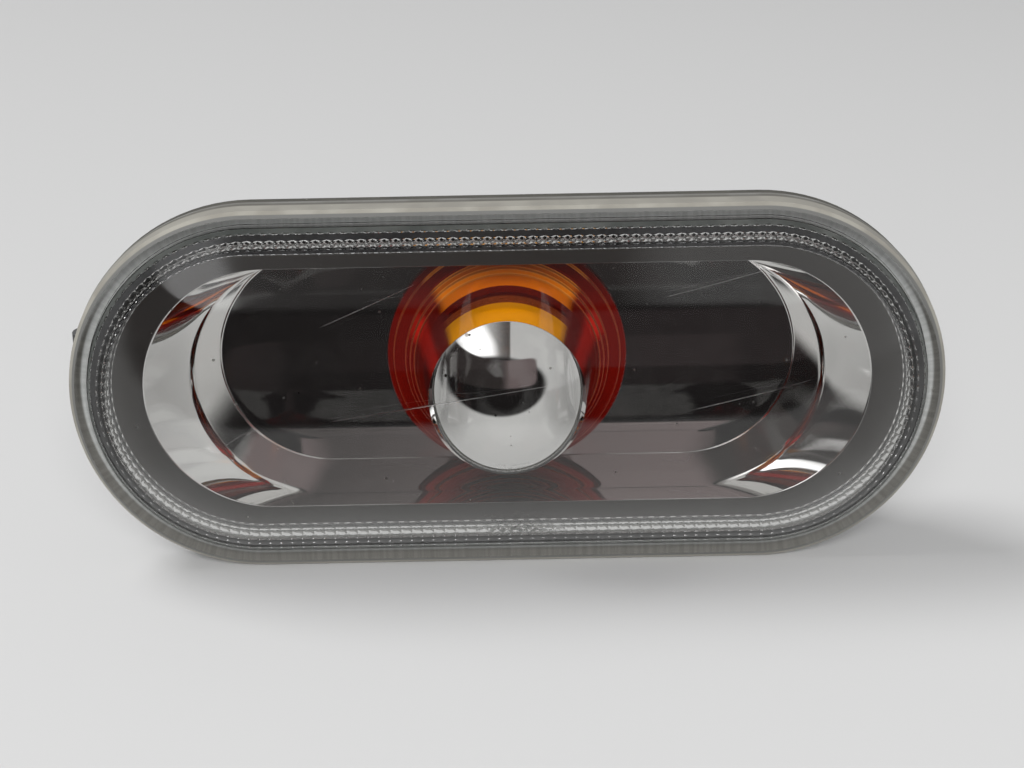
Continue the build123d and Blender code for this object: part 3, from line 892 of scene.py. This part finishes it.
painted_edge_highlight = blend_colour(tree, on_crown, PAINTED_EDGE_HIGHLIGHT_SIDE, PAINTED_EDGE_HIGHLIGHT_TOP)
for edge_radius in foot_radii[1:]:
    off_edge = calc(tree, "ABSOLUTE", calc(tree, "SUBTRACT", turned_radius, float(edge_radius)))
    dye_and_painted_light = blend_colour(tree, calc(tree, "LESS_THAN", off_edge, edge_width), dye_and_painted_light, painted_edge_highlight)
tree.links.new(dye_and_painted_light, shader.inputs["Base Color"])
print("foot edges", len(foot_radii) - 1)

# %% Amber material
AMBER_TINT = (1.0, 0.97, 0.85, 1)
haze = use_group(tree, grain, {"Scale": 3000.0})
tree.links.new(ramp(tree, haze["Mottle"], 0.0, 1.0, 0.015, 0.05), shader.inputs["Roughness"])
let_light_in(tree, shader, AMBER_TINT)
dress(amber_finish, cup)
print("material", amber_finish.name)

# %% [markdown]
# ## Moulded plastics and rubber
# The housing, the holder, the gasket, the seal and the bead of sealant keep their solids. Each has its own
# colour, a moulded grain as a fine bump, and a broad mottle that changes colour and gloss a little, as
# handling does. Dust lies on all of them.

# %% Plastic and rubber materials
DUST_COLOUR = (0.3, 0.29, 0.27, 1)
DUST_SCALE = 650.0
DUST_SIZE = 0.08
GLOSS_DRIFT = 0.07


def moulded_finish(name, dark, light, roughness, grain_scale, grain_depth, dust_share):
    """A moulding whose colour and gloss drift between two values, with grain and dust."""
    material, tree, shader = new_material(name, Metallic=0.0)
    surface = use_group(tree, grain, {"Scale": grain_scale})
    dust = use_group(tree, specks, {"Scale": DUST_SCALE, "Share": dust_share, "Size": DUST_SIZE})
    body = blend_colour(tree, surface["Mottle"], (*dark, 1), (*light, 1))
    tree.links.new(blend_colour(tree, dust["Mask"], body, DUST_COLOUR), shader.inputs["Base Color"])
    rough = ramp(tree, surface["Mottle"], 0.0, 1.0, roughness - GLOSS_DRIFT, roughness + GLOSS_DRIFT)
    tree.links.new(rough, shader.inputs["Roughness"])
    add_bump(tree, shader, surface["Height"], grain_depth)
    return material


housing_finish = moulded_finish(
    "black_housing_plastic", (0.016, 0.016, 0.017), (0.026, 0.026, 0.027), 0.42, 7000.0, 0.02 * MM, 0.1
)
holder_finish = moulded_finish(
    "natural_holder_plastic", (0.66, 0.64, 0.58), (0.74, 0.72, 0.66), 0.5, 5000.0, 0.03 * MM, 0.08
)
gasket_finish = moulded_finish(
    "foam_gasket_rubber", (0.055, 0.053, 0.046), (0.085, 0.082, 0.072), 0.8, 3500.0, 0.08 * MM, 0.16
)
seal_finish = moulded_finish(
    "holder_seal_rubber", (0.022, 0.022, 0.022), (0.035, 0.035, 0.034), 0.6, 6000.0, 0.015 * MM, 0.1
)
sealant_finish = moulded_finish(
    "lens_sealant", (0.07, 0.076, 0.072), (0.11, 0.116, 0.11), 0.7, 1500.0, 0.1 * MM, 0.05
)
film_finish = moulded_finish(
    "dull_side_wall", (0.21, 0.2, 0.175), (0.27, 0.26, 0.23), 0.55, 4000.0, 0.01 * MM, 0.12
)
dress(housing_finish, nodes["housing"])
dress(holder_finish, nodes["bulb_holder"])
dress(gasket_finish, nodes["rim_gasket"])
dress(seal_finish, nodes["holder_seal"])
dress(sealant_finish, nodes["lens_sealant"])
dress(film_finish, side_film)
print("moulded finishes done")

# %% [markdown]
# ## Bands behind the lens's rim
# Old sealant coats the front of the housing's flange and shows through the clear rim: pale further in,
# darker further out and darkest at the rim. The film on the side wall is darker at its foot and greyer on
# the corner. Separate pieces could carry these colours, but a mask by radius or height needs no new edges.

# %% Sealant on the housing's flange
PALE_COAT = ((0.42, 0.43, 0.42, 1), (0.5, 0.51, 0.5, 1))
# The outer coat is a darker colour towards the flange's outside, and darkest at its rim.
OUTER_DARKER_COAT = ((0.12, 0.117, 0.105, 1), (0.16, 0.156, 0.142, 1))
RIB_SCALE = 1600.0
coat_back = 1.275 * MM
coat_back_soft = 0.075 * MM
coat_start = lens_radius - 3.65 * MM
coat_change = lens_radius - 1.6 * MM
coat_change_soft = 0.2 * MM
coat_rim = lens_radius - 0.3 * MM
coat_soft = 0.05 * MM
tree, shader, place, plain = reopen(housing_finish)
flange_spot = use_group(tree, slot_place, {"Half Span": half_span})
flange_radius = flange_spot["Radius"]
in_front = short_of(tree, place[1], -coat_back, coat_back_soft)
on_flange = calc(tree, "MULTIPLY", in_front, past(tree, flange_radius, coat_start, coat_soft))
ribs = add_node(
    tree,
    "ShaderNodeTexNoise",
    {"W": flange_spot["Along"], "Scale": RIB_SCALE, "Detail": 2.0},
    noise_dimensions="1D",
)
lined = ramp(tree, ribs.outputs["Fac"], 0.3, 0.7)
inner_coat = blend_colour(tree, lined, *PALE_COAT)
outer_coat = blend_colour(tree, lined, *OUTER_DARKER_COAT)
coat = blend_colour(tree, past(tree, flange_radius, coat_change, coat_change_soft), inner_coat, outer_coat)
coat = blend_colour(tree, past(tree, flange_radius, coat_rim, coat_soft), coat, OUTER_DARKER_COAT[0])
tree.links.new(blend_colour(tree, on_flange, plain, coat), shader.inputs["Base Color"])
print("coat from", coat_start, "to", coat_rim)

# %% Foot and corner of the side wall film
# The film's colour is darker at its foot and greyer on its corner.
FILM_FOOT_DARKER = (0.1, 0.096, 0.084, 1)
CORNER_GREY = (0.12, 0.12, 0.115, 1)
darker_foot_top = side_foot + 0.7 * MM
darker_foot_soft = 0.1 * MM
corner_start = film_bend + 0.4 * MM
corner_soft = 0.05 * MM
tree, shader, place, plain = reopen(film_finish)
film_dye = blend_colour(tree, past(tree, place[1], -darker_foot_top, darker_foot_soft), plain, FILM_FOOT_DARKER)
film_dye = blend_colour(tree, short_of(tree, place[1], -corner_start, corner_soft), film_dye, CORNER_GREY)
tree.links.new(film_dye, shader.inputs["Base Color"])
print("side wall from", darker_foot_top, "to", corner_start)

# %% [markdown]
# ## Bulb and contacts
# The bulb is clear blown glass with steel wires. The contacts are tinned strips, drawn along their length,
# so their hair scratches run one way.

# %% Bulb glass
GLASS_TINT = (0.95, 0.95, 0.95, 1)
glass_finish, tree, shader = new_material("bulb_glass", IOR=1.5, Transmission_Weight=1.0, Metallic=0.0)
smears = use_group(tree, grain, {"Scale": 2500.0})
tree.links.new(ramp(tree, smears["Mottle"], 0.0, 1.0, 0.0, 0.04), shader.inputs["Roughness"])
let_light_in(tree, shader, GLASS_TINT)
dress(glass_finish, nodes["bulb_glass"])
print("material", glass_finish.name)

# %% Contact and wire metals
STRIP_TURN = (0.0, 0.0, 1.57)
LINE_ROUGHNESS = 0.2
LINE_DEPTH = 0.01 * MM


def drawn_metal(name, dark, light, roughness):
    """A metal with lines along one direction and a mottled colour."""
    material, tree, shader = new_material(name, Metallic=1.0)
    surface = use_group(tree, grain, {"Scale": 4000.0})
    lines = use_group(tree, hairs, {"Turn": STRIP_TURN, "Scale": 500.0, "Share": 0.8, "Width": 0.03})
    body = blend_colour(tree, surface["Mottle"], (*dark, 1), (*light, 1))
    tree.links.new(body, shader.inputs["Base Color"])
    rough = ramp(tree, lines["Mask"], 0.0, 1.0, roughness, roughness + LINE_ROUGHNESS)
    tree.links.new(rough, shader.inputs["Roughness"])
    add_bump(tree, shader, lines["Mask"], -LINE_DEPTH)
    return material


contact_finish = drawn_metal("tinned_contact_strip", (0.62, 0.58, 0.5), (0.74, 0.71, 0.65), 0.28)
wire_finish = drawn_metal("bulb_wire", (0.4, 0.39, 0.38), (0.55, 0.54, 0.52), 0.3)
dress(contact_finish, nodes["terminal_upper"], nodes["terminal_lower"])
dress(wire_finish, nodes["bulb_lead_wires"], filament)
print("materials", contact_finish.name, wire_finish.name)

# %% [markdown]
# ## Floor, studio and lights
# The lamp stands on a plain pale floor. A mirror shows only what is round it, so the studio matters as much
# as the film: a pale room with a bright window high on the left, a narrow post in the middle, and a dark
# front with a shelf across its upper part. The floor is left out of mirrors and clear plastic, and the pale
# lower half of the studio stands for it there. The studio itself lights the scene evenly and only a little.
# Most of the light comes from two soft lamps, a key high on the left and a fill in front.

# %% Floor
FLOOR_SIZE = 6.0
FLOOR_GREY = (0.58, 0.58, 0.58, 1)
corner = FLOOR_SIZE / 2
floor_height = -lens_radius
floor_corners = [(-corner, -corner), (corner, -corner), (corner, corner), (-corner, corner)]
floor_mesh = bpy.data.meshes.new("floor")
floor_mesh.from_pydata([(x, y, floor_height) for x, y in floor_corners], [], [(0, 1, 2, 3)])
floor = bpy.data.objects.new("floor", floor_mesh)
bpy.context.scene.collection.objects.link(floor)
floor_finish = new_material("pale_floor", Base_Color=FLOOR_GREY, Roughness=0.75)[0]
dress(floor_finish, floor)
floor.visible_glossy = False
floor.visible_transmission = False
print("floor at", floor_height)

# %% Directions in the studio
studio = bpy.data.worlds.new("studio")
studio.use_nodes = True
bpy.context.scene.world = studio
tree = studio.node_tree
direction = tree.nodes.new("ShaderNodeTexCoord").outputs["Generated"]
across, away, up = add_node(tree, "ShaderNodeSeparateXYZ", {"Vector": direction}).outputs
in_front = ramp(tree, away, -0.1, 0.1, 1.0, 0.0)


def oval(half_width, half_height, middle_across, middle_up, soft, power=2.0):
    """A mask that is 1 inside an oval of directions in front: ((x-d)/a)^p + ((z-c)/b)^p < 1."""
    wide = calc(tree, "DIVIDE", calc(tree, "SUBTRACT", across, middle_across), half_width)
    tall = calc(tree, "DIVIDE", calc(tree, "SUBTRACT", up, middle_up), half_height)
    wide = calc(tree, "POWER", calc(tree, "ABSOLUTE", wide), power)
    tall = calc(tree, "POWER", calc(tree, "ABSOLUTE", tall), power)
    inside = short_of(tree, calc(tree, "ADD", wide, tall), 1.0, soft)
    return calc(tree, "MULTIPLY", inside, in_front)


print("studio", studio.name)

# %% Room, table and window
ROOM_FRONT = (0.55, 0.55, 0.54, 1)
ROOM_BACK = (0.62, 0.62, 0.62, 1)
TABLE_MIDDLE = (0.55, 0.55, 0.54, 1)
TABLE_SIDES = (0.44, 0.44, 0.43, 1)
WINDOW = (1.6, 1.6, 1.6, 1)
aside = calc(tree, "ABSOLUTE", across)
table = blend_colour(tree, ramp(tree, aside, 0.55, 0.8), TABLE_MIDDLE, TABLE_SIDES)
room = blend_colour(tree, ramp(tree, away, -0.2, 0.5), ROOM_FRONT, ROOM_BACK)
room = blend_colour(tree, ramp(tree, up, -0.06, 0.02, 1.0, 0.0), room, table)
window = oval(half_width=0.32, half_height=0.2, middle_across=-0.5, middle_up=0.75, soft=0.6)
room = blend_colour(tree, window, room, WINDOW)
print("window", WINDOW)

# %% Post, dark front and shelf
POST = (0.1, 0.09, 0.085, 1)
DARK_FRONT = (0.011, 0.01, 0.01, 1)
SHELF_LEFT = (0.03, 0.026, 0.025, 1)
SHELF_RIGHT = (0.15, 0.12, 0.12, 1)
post = calc(tree, "MULTIPLY", ramp(tree, across, -0.4, 0.04), ramp(tree, across, 0.05, 0.09, 1.0, 0.0))
post = calc(tree, "MULTIPLY", post, ramp(tree, up, 0.2, 0.3))
room = blend_colour(tree, calc(tree, "MULTIPLY", post, in_front), room, POST)
dark = oval(half_width=0.86, half_height=0.55, middle_across=-0.14, middle_up=0.13, soft=0.12)
room = blend_colour(tree, dark, room, DARK_FRONT)
shelf = oval(half_width=0.77, half_height=0.25, middle_across=-0.2, middle_up=0.375, soft=0.25, power=6.0)
shelf_dye = blend_colour(tree, ramp(tree, across, -0.15, 0.1), SHELF_LEFT, SHELF_RIGHT)
room = blend_colour(tree, shelf, room, shelf_dye)
print("dark front", DARK_FRONT)

# %% Even light from the studio
EVEN_LIGHT = (0.2, 0.2, 0.2, 1)
BACKDROP = (0.66, 0.66, 0.66, 1)
path = tree.nodes.new("ShaderNodeLightPath")
seen = blend_colour(tree, path.outputs["Is Diffuse Ray"], room, EVEN_LIGHT)
seen = blend_colour(tree, path.outputs["Is Camera Ray"], seen, BACKDROP)
tree.links.new(seen, tree.nodes["Background"].inputs["Color"])
print("even light", EVEN_LIGHT)

# %% Soft lights
def soft_light(name, direction, distance, width, height, power):
    """A rectangular lamp that faces the origin from a direction, left out of mirrors and clear plastic."""
    direction = Vector(direction).normalized()
    light = bpy.data.lights.new(name, "AREA")
    light.shape = "RECTANGLE"
    light.size = width
    light.size_y = height
    light.energy = power
    lamp = bpy.data.objects.new(name, light)
    lamp.location = direction * distance
    lamp.rotation_euler = direction.to_track_quat("Z", "Y").to_euler()
    lamp.visible_glossy = False
    lamp.visible_transmission = False
    bpy.context.scene.collection.objects.link(lamp)
    print("light", name, power, "W")


soft_light("key", (-0.55, 0.18, 0.82), distance=2.5, width=1.3, height=1.1, power=41.0)
soft_light("fill", (0.0, -0.9, 0.43), distance=1.6, width=0.9, height=0.7, power=32.0)

# %% [markdown]
# ## Camera
# The photo looks down on the lens by about 19 degrees from close by, and is turned by about a degree. The
# camera is placed by these angles and its distance from a point on the lens's flange.

# %% Camera
SENSOR = 36.0
CLIP_START = 0.01
camera_elevation = math.radians(19.0)
camera_roll = math.radians(-1.1)
camera_distance = 0.230
frame_width = 0.1206
aim = Vector((0.00055, -0.0061, 0.00081))

camera_data = bpy.data.cameras.new("camera")
camera_data.sensor_width = SENSOR
camera_data.lens = SENSOR * camera_distance / frame_width
camera_data.clip_start = CLIP_START
camera = bpy.data.objects.new("camera", camera_data)
towards = Vector((0.0, -math.cos(camera_elevation), math.sin(camera_elevation)))
camera_turn = towards.to_track_quat("Z", "Y").to_matrix().to_4x4() @ Matrix.Rotation(camera_roll, 4, "Z")
camera.matrix_world = Matrix.Translation(aim + towards * camera_distance) @ camera_turn
bpy.context.scene.collection.objects.link(camera)
bpy.context.scene.camera = camera
bpy.context.scene.view_settings.view_transform = "Standard"
print("camera lens", camera_data.lens)
